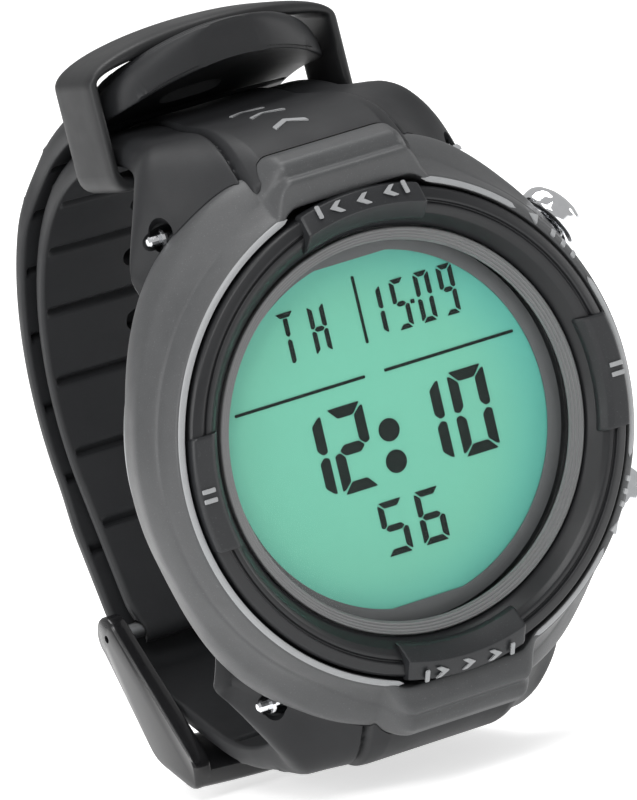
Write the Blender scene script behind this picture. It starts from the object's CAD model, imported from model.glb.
"""Looks of a wrist dive computer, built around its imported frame.

Shapes are worked out in the watch's own axes, in millimetres: x points to 3 o'clock, y to
12 o'clock and z out of the dial, with zero on the case back. `to_row` takes them to the frame,
in metres. Each sub-assembly is a class that builds and dresses its own pieces.
"""

from __future__ import annotations

import logging
from dataclasses import dataclass, field
from enum import Enum
from math import atan2, cos, degrees, pi, radians, sin, sqrt
from typing import Callable, Iterable, Sequence

import bmesh
import bpy
import numpy as np
from mathutils import Matrix, Vector

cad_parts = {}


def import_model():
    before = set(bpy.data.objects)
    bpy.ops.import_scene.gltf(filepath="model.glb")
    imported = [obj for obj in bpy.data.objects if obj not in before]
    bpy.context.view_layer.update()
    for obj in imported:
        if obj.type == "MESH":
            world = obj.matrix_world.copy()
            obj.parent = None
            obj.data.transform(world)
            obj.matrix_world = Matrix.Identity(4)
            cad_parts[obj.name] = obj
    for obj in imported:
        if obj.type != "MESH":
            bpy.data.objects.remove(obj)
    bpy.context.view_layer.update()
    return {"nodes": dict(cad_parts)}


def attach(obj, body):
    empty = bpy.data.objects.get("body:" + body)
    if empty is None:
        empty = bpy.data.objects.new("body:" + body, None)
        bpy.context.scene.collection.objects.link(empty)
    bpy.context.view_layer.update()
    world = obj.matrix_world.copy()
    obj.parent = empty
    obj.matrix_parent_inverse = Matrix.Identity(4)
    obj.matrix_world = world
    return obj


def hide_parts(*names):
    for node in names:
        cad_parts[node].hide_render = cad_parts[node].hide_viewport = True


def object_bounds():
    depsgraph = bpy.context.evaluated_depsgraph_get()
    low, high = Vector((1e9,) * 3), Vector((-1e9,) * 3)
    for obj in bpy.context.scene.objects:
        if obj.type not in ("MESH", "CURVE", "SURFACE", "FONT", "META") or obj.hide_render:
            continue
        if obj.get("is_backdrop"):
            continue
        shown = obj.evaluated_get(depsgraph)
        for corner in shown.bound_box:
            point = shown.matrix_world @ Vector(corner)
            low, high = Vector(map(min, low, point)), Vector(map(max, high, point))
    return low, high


LOG = logging.getLogger("dive_computer")
MM = 0.001
Point2 = tuple[float, float]
ROW = Matrix(((MM, 0, 0, 0), (0, 0, -MM, 0), (0, MM, 0, 0), (0, 0, 0, 1)))


class Body(Enum):
    """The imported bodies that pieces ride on."""

    WATCH = "watch"
    SELECT = "select_button"
    ESCAPE = "escape_button"
    DOOR = "battery_door"
    KEEPER = "strap_keeper"
    BUCKLE = "buckle"
    TONGUE = "tongue"


# ------------------------------------------------------------------ shader node groups

class NodeGroup:
    """A shader node group with named sockets, built once."""

    def __init__(self, name: str, inputs: dict[str, float], outputs: Sequence[str]) -> None:
        """Make an empty group.

        Args:
            name: the group's name.
            inputs: each number input and its default.
            outputs: names of the number outputs.
        """
        self.tree = bpy.data.node_groups.new(name, "ShaderNodeTree")
        for label, value in inputs.items():
            socket = self.tree.interface.new_socket(label, in_out="INPUT", socket_type="NodeSocketFloat")
            socket.default_value = value
        for label in outputs:
            self.tree.interface.new_socket(label, in_out="OUTPUT", socket_type="NodeSocketFloat")
        self.source = self.tree.nodes.new("NodeGroupInput")
        self.sink = self.tree.nodes.new("NodeGroupOutput")

    def math(self, operation: str, first, second=0.0, third=None):
        """A Math node; each operand is a socket or a number. Returns its output socket."""
        node = self.tree.nodes.new("ShaderNodeMath")
        node.operation = operation
        for slot, value in enumerate((first, second, third)):
            if value is None:
                continue
            if isinstance(value, (int, float)):
                node.inputs[slot].default_value = value
            else:
                self.tree.links.new(value, node.inputs[slot])
        return node.outputs[0]

    def noise(self, scale, detail: float = 2.0, roughness: float = 0.5, stretch=(1, 1, 1)):
        """Noise on Object coordinates. Returns its factor socket."""
        nodes, links = self.tree.nodes, self.tree.links
        place = nodes.new("ShaderNodeTexCoord")
        mapping = nodes.new("ShaderNodeMapping")
        mapping.inputs["Scale"].default_value = stretch
        links.new(place.outputs["Object"], mapping.inputs["Vector"])
        node = nodes.new("ShaderNodeTexNoise")
        node.inputs["Detail"].default_value = detail
        node.inputs["Roughness"].default_value = roughness
        links.new(mapping.outputs["Vector"], node.inputs["Vector"])
        if isinstance(scale, (int, float)):
            node.inputs["Scale"].default_value = scale
        else:
            links.new(scale, node.inputs["Scale"])
        return node.outputs["Fac"]

    def ramp(self, value, low: float, high: float):
        """Smooth step of a value from 0 at low to 1 at high. Returns a socket."""
        node = self.tree.nodes.new("ShaderNodeMapRange")
        node.interpolation_type = "SMOOTHSTEP"
        node.inputs["From Min"].default_value = low
        node.inputs["From Max"].default_value = high
        self.tree.links.new(value, node.inputs["Value"])
        return node.outputs["Result"]

    def out(self, label: str, socket) -> None:
        """Join a socket to a named output."""
        self.tree.links.new(socket, self.sink.inputs[label])

    def value(self, label: str):
        """The socket of a named input."""
        return self.source.outputs[label]


class Effects:
    """The effects that several finishes share."""

    def __init__(self) -> None:
        """Build each group."""
        self.grain = self.build_grain()
        self.handling = self.build_handling()
        self.brushed = self.build_brushed()

    @staticmethod
    def build_grain() -> bpy.types.NodeTree:
        """Moulded grain: fine pits with a few bright specks."""
        group = NodeGroup("moulded_grain", {"Scale": 5000.0, "Speck": 0.6}, ("Shade", "Speck", "Height"))
        fine = group.noise(group.value("Scale"), 3.0, 0.6)
        coarse = group.noise(900.0, 2.0, 0.5)
        group.out("Height", group.math("ADD", fine, group.math("MULTIPLY", coarse, 0.25)))
        group.out("Shade", group.math("ADD", group.math("MULTIPLY", fine, 0.7),
                                      group.math("MULTIPLY", coarse, 0.3)))
        bright = group.ramp(group.noise(group.math("MULTIPLY", group.value("Scale"), 0.8), 1.0), 0.64, 0.78)
        group.out("Speck", group.math("MULTIPLY", bright, group.value("Speck")))
        return group.tree

    @staticmethod
    def build_handling() -> bpy.types.NodeTree:
        """Faint marks of handling: soft patches, fine dust and long thin rubs."""
        group = NodeGroup("handling", {"Dust": 0.4}, ("Patch", "Dust"))
        patch = group.ramp(group.noise(120.0, 4.0, 0.6), 0.35, 0.7)
        group.out("Patch", patch)
        dust = group.ramp(group.noise(2600.0, 2.0, 0.7), 0.70, 0.80)
        spread = group.ramp(group.noise(260.0, 2.0, 0.5), 0.45, 0.75)
        group.out("Dust", group.math("MULTIPLY", group.math("MULTIPLY", dust, spread), group.value("Dust")))
        return group.tree

    @staticmethod
    def build_brushed() -> bpy.types.NodeTree:
        """Turned metal: fine rings round the dial's axis, broken up by noise."""
        group = NodeGroup("turned_metal", {"Pitch": 9000.0}, ("Height", "Shade"))
        nodes, links = group.tree.nodes, group.tree.links
        place = nodes.new("ShaderNodeTexCoord")
        split = nodes.new("ShaderNodeSeparateXYZ")
        links.new(place.outputs["Object"], split.inputs["Vector"])
        square_x = group.math("MULTIPLY", split.outputs["X"], split.outputs["X"])
        square_z = group.math("MULTIPLY", split.outputs["Z"], split.outputs["Z"])
        radius = group.math("SQRT", group.math("ADD", square_x, square_z))
        jitter = group.math("MULTIPLY", group.noise(700.0, 3.0), 6.0)
        wave = group.math("SINE", group.math("ADD", group.math("MULTIPLY", radius, group.value("Pitch")), jitter))
        group.out("Height", wave)
        group.out("Shade", group.math("MULTIPLY_ADD", wave, 0.5, 0.5))
        return group.tree


# ------------------------------------------------------------------ finishes

@dataclass(frozen=True)
class Finish:
    """One procedural finish: colours in linear light, gloss and grain."""

    name: str
    slot: str
    dark: tuple[float, float, float]
    light: tuple[float, float, float]
    rough: tuple[float, float] = (0.45, 0.6)
    metallic: float = 0.0
    grain: float = 5000.0
    bump: float = 0.15
    depth: float = 0.00002
    speck: float = 0.0
    dust: float = 0.3
    coat: float = 0.0
    specular: float = 0.5
    turned: bool = False
    alpha: float = 1.0

    def build(self, effects: Effects) -> bpy.types.Material:
        """Make the material.

        Args:
            effects: the shared node groups.

        Returns:
            The finished material.
        """
        material = bpy.data.materials.new(self.name)
        material.use_nodes = True
        nodes, links = material.node_tree.nodes, material.node_tree.links
        shader = nodes["Principled BSDF"]
        shader.inputs["Metallic"].default_value = self.metallic
        shader.inputs["Coat Weight"].default_value = self.coat
        shader.inputs["Coat Roughness"].default_value = 0.08
        shader.inputs["Specular IOR Level"].default_value = self.specular
        shader.inputs["Alpha"].default_value = self.alpha
        pattern = nodes.new("ShaderNodeGroup")
        pattern.node_tree = effects.brushed if self.turned else effects.grain
        if not self.turned:
            pattern.inputs["Scale"].default_value = self.grain
            pattern.inputs["Speck"].default_value = self.speck
        marks = nodes.new("ShaderNodeGroup")
        marks.node_tree = effects.handling
        marks.inputs["Dust"].default_value = self.dust
        tint = self.mix(material, pattern.outputs["Shade"], self.dark, self.light)
        if not self.turned:
            tint = self.mix(material, pattern.outputs["Speck"], tint, (0.36, 0.37, 0.38))
        tint = self.mix(material, marks.outputs["Dust"], tint, (0.35, 0.35, 0.34))
        links.new(tint, shader.inputs["Base Color"])
        gloss = nodes.new("ShaderNodeMapRange")
        gloss.inputs["To Min"].default_value, gloss.inputs["To Max"].default_value = self.rough
        links.new(marks.outputs["Patch"], gloss.inputs["Value"])
        links.new(gloss.outputs["Result"], shader.inputs["Roughness"])
        bump = nodes.new("ShaderNodeBump")
        bump.inputs["Strength"].default_value = self.bump
        bump.inputs["Distance"].default_value = self.depth
        links.new(pattern.outputs["Height"], bump.inputs["Height"])
        links.new(bump.outputs["Normal"], shader.inputs["Normal"])
        return material

    @staticmethod
    def mix(material: bpy.types.Material, factor, first, second):
        """A colour mix whose ends are sockets or colours. Returns its colour socket."""
        node = material.node_tree.nodes.new("ShaderNodeMix")
        node.data_type = "RGBA"
        material.node_tree.links.new(factor, node.inputs["Factor"])
        for socket, value in ((node.inputs[6], first), (node.inputs[7], second)):
            if isinstance(value, tuple):
                socket.default_value = (*value, 1.0)
            else:
                material.node_tree.links.new(value, socket)
        return node.outputs[2]


class Palette:
    """Every finish of the watch, by its name."""

    FINISHES = (
        Finish("case_grey", "body_grey", (0.0324, 0.0332, 0.0348), (0.0607, 0.0623, 0.0639), (0.42, 0.55),
               grain=9000, bump=0.45, speck=0.10, dust=0.04, specular=0.4),
        Finish("bezel_black", "bezel_black", (0.008, 0.0083, 0.009), (0.016, 0.0165, 0.018), (0.30, 0.40),
               grain=9000, bump=0.15, dust=0.08, specular=0.3),
        Finish("tab_black", "bezel_black", (0.010, 0.0105, 0.0115), (0.021, 0.022, 0.024), (0.36, 0.48),
               grain=8000, bump=0.35, speck=0.05, dust=0.05, specular=0.3),
        Finish("strip_paint", "ring_grey", (0.19, 0.195, 0.20), (0.27, 0.275, 0.28), (0.34, 0.45),
               grain=9000, bump=0.25, dust=0.03),
        Finish("ridge_grey", "ring_grey", (0.1023, 0.1035, 0.1048), (0.1333, 0.1345, 0.1364), (0.28, 0.38),
               grain=9000, bump=0.08, dust=0.03),
        Finish("mask_print", "mask_grey", (0.080, 0.084, 0.086), (0.100, 0.104, 0.106), (0.5, 0.6),
               grain=3000, bump=0.05, dust=0.02, specular=0.3),
        Finish("strap_rubber", "rubber", (0.009, 0.0095, 0.0105), (0.018, 0.0185, 0.020), (0.44, 0.56),
               grain=9000, bump=0.3, speck=0.01, dust=0.05, specular=0.25),
        Finish("keeper_rubber", "rubber", (0.0096, 0.0098, 0.0105), (0.0153, 0.0158, 0.0167), (0.44, 0.56),
               grain=9000, bump=0.25, speck=0.01, dust=0.06, specular=0.35),
        Finish("seal_rubber", "seal", (0.016, 0.016, 0.017), (0.028, 0.028, 0.029), (0.5, 0.6), bump=0.1),
        Finish("buckle_gloss", "gloss_black", (0.006, 0.006, 0.0065), (0.011, 0.011, 0.012), (0.16, 0.26),
               grain=2200, bump=0.05, dust=0.05, coat=0.25, specular=0.4),
        Finish("chip_black", "gloss_black", (0.012, 0.012, 0.014), (0.022, 0.022, 0.024), (0.25, 0.4), bump=0.15),
        Finish("polished_chrome", "chrome", (0.72, 0.73, 0.75), (0.84, 0.85, 0.87), (0.06, 0.14), 1.0,
               grain=1800, bump=0.03, dust=0.05),
        Finish("turned_steel", "steel", (0.42, 0.43, 0.44), (0.60, 0.61, 0.62), (0.24, 0.38), 1.0,
               turned=True, bump=0.25, dust=0.1),
        Finish("plain_steel", "steel", (0.45, 0.46, 0.47), (0.58, 0.59, 0.60), (0.22, 0.36), 1.0,
               grain=2600, bump=0.1, dust=0.1),
        Finish("gilt", "gold", (0.62, 0.43, 0.16), (0.78, 0.58, 0.26), (0.22, 0.34), 1.0, bump=0.08),
        Finish("board_green", "board", (0.012, 0.09, 0.035), (0.03, 0.20, 0.08), (0.28, 0.42), grain=700,
               bump=0.3),
        Finish("diffuser_white", "white", (0.66, 0.67, 0.66), (0.76, 0.77, 0.76), (0.4, 0.5), bump=0.08),
        Finish("segment_ink", "gloss_black", (0.004, 0.0088, 0.0072), (0.0064, 0.0128, 0.0104), (0.35, 0.45),
               bump=0.02, dust=0.0, specular=0.12),
    )

    def __init__(self) -> None:
        """Build the shared effects and every material."""
        self.effects = Effects()
        self.slots = {finish.name: finish.slot for finish in self.FINISHES}
        self.materials = {finish.name: finish.build(self.effects) for finish in self.FINISHES}
        self.materials["lens_glass"] = self.lens()
        self.slots["lens_glass"] = "glass"
        self.materials["display_green"] = self.display()
        self.slots["display_green"] = "lcd"

    def lens(self) -> bpy.types.Material:
        """Clear lens: almost no colour, a hard gloss and a trace of smear."""
        material = bpy.data.materials.new("lens_glass")
        material.use_nodes = True
        nodes, links = material.node_tree.nodes, material.node_tree.links
        shader = nodes["Principled BSDF"]
        shader.inputs["Alpha"].default_value = 0.03
        shader.inputs["IOR"].default_value = 1.5
        marks = nodes.new("ShaderNodeGroup")
        marks.node_tree = self.effects.handling
        marks.inputs["Dust"].default_value = 0.1
        links.new(Finish.mix(material, marks.outputs["Patch"], (0.05, 0.06, 0.06), (0.09, 0.10, 0.10)),
                  shader.inputs["Base Color"])
        gloss = nodes.new("ShaderNodeMapRange")
        gloss.inputs["To Min"].default_value, gloss.inputs["To Max"].default_value = 0.02, 0.07
        links.new(marks.outputs["Patch"], gloss.inputs["Value"])
        links.new(gloss.outputs["Result"], shader.inputs["Roughness"])
        return material

    def display(self) -> bpy.types.Material:
        """Reflective display: green, a little bluer and darker towards its rim, with a fine pixel film."""
        material = bpy.data.materials.new("display_green")
        material.use_nodes = True
        nodes, links = material.node_tree.nodes, material.node_tree.links
        shader = nodes["Principled BSDF"]
        shader.inputs["Specular IOR Level"].default_value = 0.3
        film = nodes.new("ShaderNodeGroup")
        film.node_tree = self.effects.grain
        film.inputs["Scale"].default_value = 2600.0
        place = nodes.new("ShaderNodeTexCoord")
        shift = nodes.new("ShaderNodeMapping")
        shift.inputs["Location"].default_value = (0.002, 0.0, 0.0)
        shift.inputs["Scale"].default_value = (1.0, 0.0, 1.0)
        length = nodes.new("ShaderNodeVectorMath")
        length.operation = "LENGTH"
        links.new(place.outputs["Object"], shift.inputs["Vector"])
        links.new(shift.outputs["Vector"], length.inputs[0])
        rim = nodes.new("ShaderNodeMapRange")
        rim.interpolation_type = "SMOOTHSTEP"
        rim.inputs["From Min"].default_value, rim.inputs["From Max"].default_value = 0.011, 0.0185
        links.new(length.outputs["Value"], rim.inputs["Value"])
        field_colour = Finish.mix(material, film.outputs["Shade"], (0.143, 0.457, 0.330), (0.149, 0.471, 0.341))
        links.new(Finish.mix(material, rim.outputs["Result"], field_colour, (0.091, 0.402, 0.335)),
                  shader.inputs["Base Color"])
        gloss = nodes.new("ShaderNodeMapRange")
        gloss.inputs["To Min"].default_value, gloss.inputs["To Max"].default_value = 0.5, 0.6
        links.new(film.outputs["Shade"], gloss.inputs["Value"])
        links.new(gloss.outputs["Result"], shader.inputs["Roughness"])
        return material

    def dress(self, obj: bpy.types.Object, name: str) -> None:
        """Give an object one finish in every slot.

        Args:
            obj: a new piece or a CAD node.
            name: the finish's name.
        """
        if not obj.material_slots:
            obj.data.materials.append(self.materials[name])
        for slot in obj.material_slots:
            slot.material = self.materials[name]


# ------------------------------------------------------------------ mesh tools

def smooth_step(value):
    """Ease from 0 to 1 over 0 to 1, for numbers and arrays."""
    value = np.clip(value, 0.0, 1.0)
    return value * value * (3 - 2 * value)


def chaikin(points: np.ndarray, rounds: int = 2, closed: bool = True) -> np.ndarray:
    """Round the corners of an outline by cutting them.

    Args:
        points: the outline's points.
        rounds: how often to cut.
        closed: whether the outline is a loop.

    Returns:
        The rounded outline.
    """
    for _ in range(rounds):
        ahead = np.roll(points, -1, axis=0)
        near, far = 0.75 * points + 0.25 * ahead, 0.25 * points + 0.75 * ahead
        cut = np.stack([near, far], axis=1).reshape(-1, points.shape[1])
        points = cut if closed else np.vstack([points[:1], cut[:-2], points[-1:]])
    return points


def soften(outline: Sequence[Point2], radius: float, steps: int = 4, closed: bool = True) -> np.ndarray:
    """Fillet every corner of an outline with a small arc.

    Args:
        outline: the corner points.
        radius: the most that a fillet takes off each side of a corner.
        steps: pieces in each fillet.
        closed: whether the outline is a loop.

    Returns:
        The points of the softened outline.
    """
    points = [np.array(p, dtype=float) for p in outline]
    count = len(points)
    result = []
    for k, corner in enumerate(points):
        if not closed and k in (0, count - 1):
            result.append(corner)
            continue
        before, after = points[k - 1], points[(k + 1) % count]
        into, away = before - corner, after - corner
        reach = min(radius, 0.45 * np.linalg.norm(into), 0.45 * np.linalg.norm(away))
        start = corner + into / np.linalg.norm(into) * reach
        end = corner + away / np.linalg.norm(away) * reach
        for t in np.linspace(0, 1, steps + 1):
            result.append((1 - t) ** 2 * start + 2 * t * (1 - t) * corner + t * t * end)
    return np.array(result)


class Shape:
    """Makes meshes in watch millimetres and turns them into finished pieces."""

    @staticmethod
    def raw(name: str, points: np.ndarray, faces: Iterable[Sequence[int]]) -> bpy.types.Object:
        """An object from points and faces, with its normals turned outwards."""
        mesh = bpy.data.meshes.new(name)
        mesh.from_pydata([tuple(map(float, p)) for p in points], [], [tuple(map(int, f)) for f in faces])
        bm = bmesh.new()
        bm.from_mesh(mesh)
        bmesh.ops.remove_doubles(bm, verts=bm.verts, dist=1e-5)
        bmesh.ops.recalc_face_normals(bm, faces=bm.faces)
        bm.to_mesh(mesh)
        bm.free()
        obj = bpy.data.objects.new(name, mesh)
        bpy.context.scene.collection.objects.link(obj)
        return obj

    @staticmethod
    def loft(name: str, rings: np.ndarray, closed: bool, caps: bool = False) -> bpy.types.Object:
        """A skin over a grid of rings.

        Args:
            name: the object's name.
            rings: points shaped (rings, points in a ring, 3); each ring is a loop.
            closed: whether the last ring joins the first.
            caps: whether to close the first and last rings with faces.

        Returns:
            The new object.
        """
        count, size = rings.shape[:2]
        faces = []
        for i in range(count if closed else count - 1):
            a, b = i * size, (i + 1) % count * size
            faces += [(a + j, a + (j + 1) % size, b + (j + 1) % size, b + j) for j in range(size)]
        if caps:
            faces.append(tuple(range(size)))
            faces.append(tuple((count - 1) * size + j for j in reversed(range(size))))
        return Shape.raw(name, rings.reshape(-1, 3), faces)

    @staticmethod
    def revolve(name: str, profile: np.ndarray, steps: int = 256) -> bpy.types.Object:
        """A closed (radius, height) outline turned about z; points on the axis are merged."""
        turns = np.linspace(0, 2 * pi, steps, endpoint=False)
        profile = np.asarray(profile, dtype=float)
        rings = np.stack([np.stack([profile[:, 0] * cos(a), profile[:, 0] * sin(a), profile[:, 1]], axis=1)
                          for a in turns])
        return Shape.loft(name, rings, closed=True)

    @staticmethod
    def plate(name: str, outline: np.ndarray, low: float, high: float, edge: float = 0.0) -> bpy.types.Object:
        """A flat plate from an outline in x and y, between two heights, with a small edge chamfer."""
        middle = outline.mean(axis=0)
        inset = outline + (middle - outline) / np.linalg.norm(outline - middle, axis=1)[:, None] * edge
        layers = [(inset, low), (outline, low + edge), (outline, high - edge), (inset, high)]
        if not edge:
            layers = [(outline, low), (outline, high)]
        rings = np.stack([np.column_stack([shape, np.full(len(shape), z)]) for shape, z in layers])
        return Shape.loft(name, rings, closed=False, caps=True)

    @staticmethod
    def combine(obj: bpy.types.Object, tool: bpy.types.Object, operation: str = "DIFFERENCE") -> None:
        """Cut or join with a tool, which is then removed."""
        modifier = obj.modifiers.new("tool", "BOOLEAN")
        modifier.operation = operation
        modifier.object = tool
        Shape.apply(obj)
        bpy.data.objects.remove(tool)

    @staticmethod
    def apply(obj: bpy.types.Object) -> None:
        """Replace an object's mesh with its evaluated one and drop its modifiers."""
        graph = bpy.context.evaluated_depsgraph_get()
        mesh = bpy.data.meshes.new_from_object(obj.evaluated_get(graph))
        obj.modifiers.clear()
        obj.data = mesh

    @staticmethod
    def shift(obj: bpy.types.Object, matrix: Matrix) -> bpy.types.Object:
        """Move an object's mesh and return the object."""
        obj.data.transform(matrix)
        if matrix.determinant() < 0:
            obj.data.flip_normals()
        return obj

    @staticmethod
    def join(name: str, objects: Sequence[bpy.types.Object]) -> bpy.types.Object:
        """One object from several that don't touch."""
        bm = bmesh.new()
        for obj in objects:
            bm.from_mesh(obj.data)
            bpy.data.objects.remove(obj)
        mesh = bpy.data.meshes.new(name)
        bm.to_mesh(mesh)
        bm.free()
        whole = bpy.data.objects.new(name, mesh)
        bpy.context.scene.collection.objects.link(whole)
        return whole


@dataclass
class Workshop:
    """Finishes pieces: places them in the row frame, dresses them and makes them ride."""

    palette: Palette

    def piece(self, obj: bpy.types.Object, finish: str, body: Body, replaces: Sequence[str] = (),
              angle: float = 32.0) -> bpy.types.Object:
        """Finish a piece that was built in watch millimetres.

        Args:
            obj: the piece.
            finish: the name of its finish.
            body: the body that it rides on.
            replaces: the CAD nodes that it stands for.
            angle: edges sharper than this stay sharp, in degrees.

        Returns:
            The piece.
        """
        obj.data.transform(ROW)
        obj.data.shade_smooth()
        obj.data.set_sharp_from_angle(angle=radians(angle))
        obj.data.materials.clear()
        self.palette.dress(obj, finish)
        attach(obj, body.value)
        if replaces:
            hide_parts(*replaces)
        LOG.info("%s: %d faces, rides on %s", obj.name, len(obj.data.polygons), body.value)
        return obj


# ------------------------------------------------------------------ geometry node trees

class GeometryTree:
    """A geometry node tree with named inputs."""

    def __init__(self, name: str) -> None:
        """Make the tree with its geometry output."""
        self.tree = bpy.data.node_groups.new(name, "GeometryNodeTree")
        self.tree.interface.new_socket("Geometry", in_out="OUTPUT", socket_type="NodeSocketGeometry")
        self.keys: dict[str, str] = {}

    def takes(self, label: str, kind: str) -> None:
        """Add a named input of a socket type."""
        socket = self.tree.interface.new_socket(label, in_out="INPUT", socket_type=kind)
        self.keys[label] = socket.identifier

    def node(self, kind: str, **settings) -> bpy.types.Node:
        """Add a node and set its properties."""
        node = self.tree.nodes.new(kind)
        for key, value in settings.items():
            setattr(node, key, value)
        return node

    def link(self, source, target) -> None:
        """Join two sockets."""
        self.tree.links.new(source, target)

    def run(self, name: str, values: dict[str, object]) -> bpy.types.Object:
        """Run the tree on an empty mesh and return the result as a plain mesh object."""
        obj = bpy.data.objects.new(name, bpy.data.meshes.new(name))
        bpy.context.scene.collection.objects.link(obj)
        modifier = obj.modifiers.new("build", "NODES")
        modifier.node_group = self.tree
        for label, value in values.items():
            modifier[self.keys[label]] = value
        Shape.apply(obj)
        return obj


class Repeats:
    """Trees that repeat a shape round the dial, and that wind a spring."""

    def __init__(self) -> None:
        """Build both trees."""
        self.ring = self.build_ring()
        self.coil = self.build_coil()

    @staticmethod
    def build_ring() -> GeometryTree:
        """Copies of one shape on a circle about z, each turned to face outwards."""
        kit = GeometryTree("round_the_dial")
        for label, kind in (("Shape", "NodeSocketObject"), ("Count", "NodeSocketInt"),
                            ("Radius", "NodeSocketFloat"), ("Start", "NodeSocketFloat"),
                            ("Finish", "NodeSocketMaterial")):
            kit.takes(label, kind)
        given = kit.node("NodeGroupInput")
        circle = kit.node("GeometryNodeMeshCircle")
        kit.link(given.outputs["Count"], circle.inputs["Vertices"])
        kit.link(given.outputs["Radius"], circle.inputs["Radius"])
        turn = kit.node("ShaderNodeCombineXYZ")
        kit.link(given.outputs["Start"], turn.inputs["Z"])
        placed = kit.node("GeometryNodeTransform")
        kit.link(circle.outputs["Mesh"], placed.inputs["Geometry"])
        kit.link(turn.outputs["Vector"], placed.inputs["Rotation"])
        position = kit.node("GeometryNodeInputPosition")
        face = kit.node("FunctionNodeAlignRotationToVector", axis="X", pivot_axis="Z")
        kit.link(position.outputs["Position"], face.inputs["Vector"])
        shape = kit.node("GeometryNodeObjectInfo")
        kit.link(given.outputs["Shape"], shape.inputs["Object"])
        copies = kit.node("GeometryNodeInstanceOnPoints")
        kit.link(placed.outputs["Geometry"], copies.inputs["Points"])
        kit.link(shape.outputs["Geometry"], copies.inputs["Instance"])
        kit.link(face.outputs["Rotation"], copies.inputs["Rotation"])
        Repeats.close(kit, given, copies.outputs["Instances"])
        return kit

    @staticmethod
    def build_coil() -> GeometryTree:
        """A round wire wound along z."""
        kit = GeometryTree("wound_wire")
        for label, kind in (("Turns", "NodeSocketFloat"), ("Radius", "NodeSocketFloat"),
                            ("Height", "NodeSocketFloat"), ("Wire", "NodeSocketFloat"),
                            ("Finish", "NodeSocketMaterial")):
            kit.takes(label, kind)
        given = kit.node("NodeGroupInput")
        spiral = kit.node("GeometryNodeCurveSpiral")
        spiral.inputs["Resolution"].default_value = 28
        kit.link(given.outputs["Turns"], spiral.inputs["Rotations"])
        kit.link(given.outputs["Radius"], spiral.inputs["Start Radius"])
        kit.link(given.outputs["Radius"], spiral.inputs["End Radius"])
        kit.link(given.outputs["Height"], spiral.inputs["Height"])
        section = kit.node("GeometryNodeCurvePrimitiveCircle")
        section.inputs["Resolution"].default_value = 12
        kit.link(given.outputs["Wire"], section.inputs["Radius"])
        tube = kit.node("GeometryNodeCurveToMesh")
        tube.inputs["Fill Caps"].default_value = True
        kit.link(spiral.outputs["Curve"], tube.inputs["Curve"])
        kit.link(section.outputs["Curve"], tube.inputs["Profile Curve"])
        Repeats.close(kit, given, tube.outputs["Mesh"])
        return kit

    @staticmethod
    def close(kit: GeometryTree, given: bpy.types.Node, geometry) -> None:
        """End a tree in Realize Instances and Set Material."""
        real = kit.node("GeometryNodeRealizeInstances")
        kit.link(geometry, real.inputs["Geometry"])
        paint = kit.node("GeometryNodeSetMaterial")
        kit.link(real.outputs["Geometry"], paint.inputs["Geometry"])
        kit.link(given.outputs["Finish"], paint.inputs["Material"])
        sink = kit.node("NodeGroupOutput")
        kit.link(paint.outputs["Geometry"], sink.inputs["Geometry"])

    def round_dial(self, name: str, shape: bpy.types.Object, count: int, radius: float, start: float,
                   finish: bpy.types.Material) -> bpy.types.Object:
        """Copies of a shape on a circle; the shape itself is removed."""
        obj = self.ring.run(name, {"Shape": shape, "Count": count, "Radius": radius,
                                   "Start": radians(start), "Finish": finish})
        bpy.data.objects.remove(shape)
        return obj

    def spring(self, name: str, turns: float, radius: float, height: float, wire: float,
               finish: bpy.types.Material) -> bpy.types.Object:
        """A compression spring that starts at the origin and rises along z."""
        return self.coil.run(name, {"Turns": turns, "Radius": radius, "Height": height, "Wire": wire,
                                    "Finish": finish})


# ------------------------------------------------------------------ case

def button_axis(angle: float, height: float, along: float = 0.0) -> Matrix:
    """The placement that lays z along a button's outward direction.

    Args:
        angle: the button's place round the dial, in degrees.
        height: its height over the case back.
        along: a shift along the button.

    Returns:
        The matrix.
    """
    return (Matrix.Rotation(radians(angle), 4, "Z") @ Matrix.Translation((0, 0, height))
            @ Matrix.Rotation(pi / 2, 4, "Y") @ Matrix.Translation((0, 0, along)))


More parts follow.
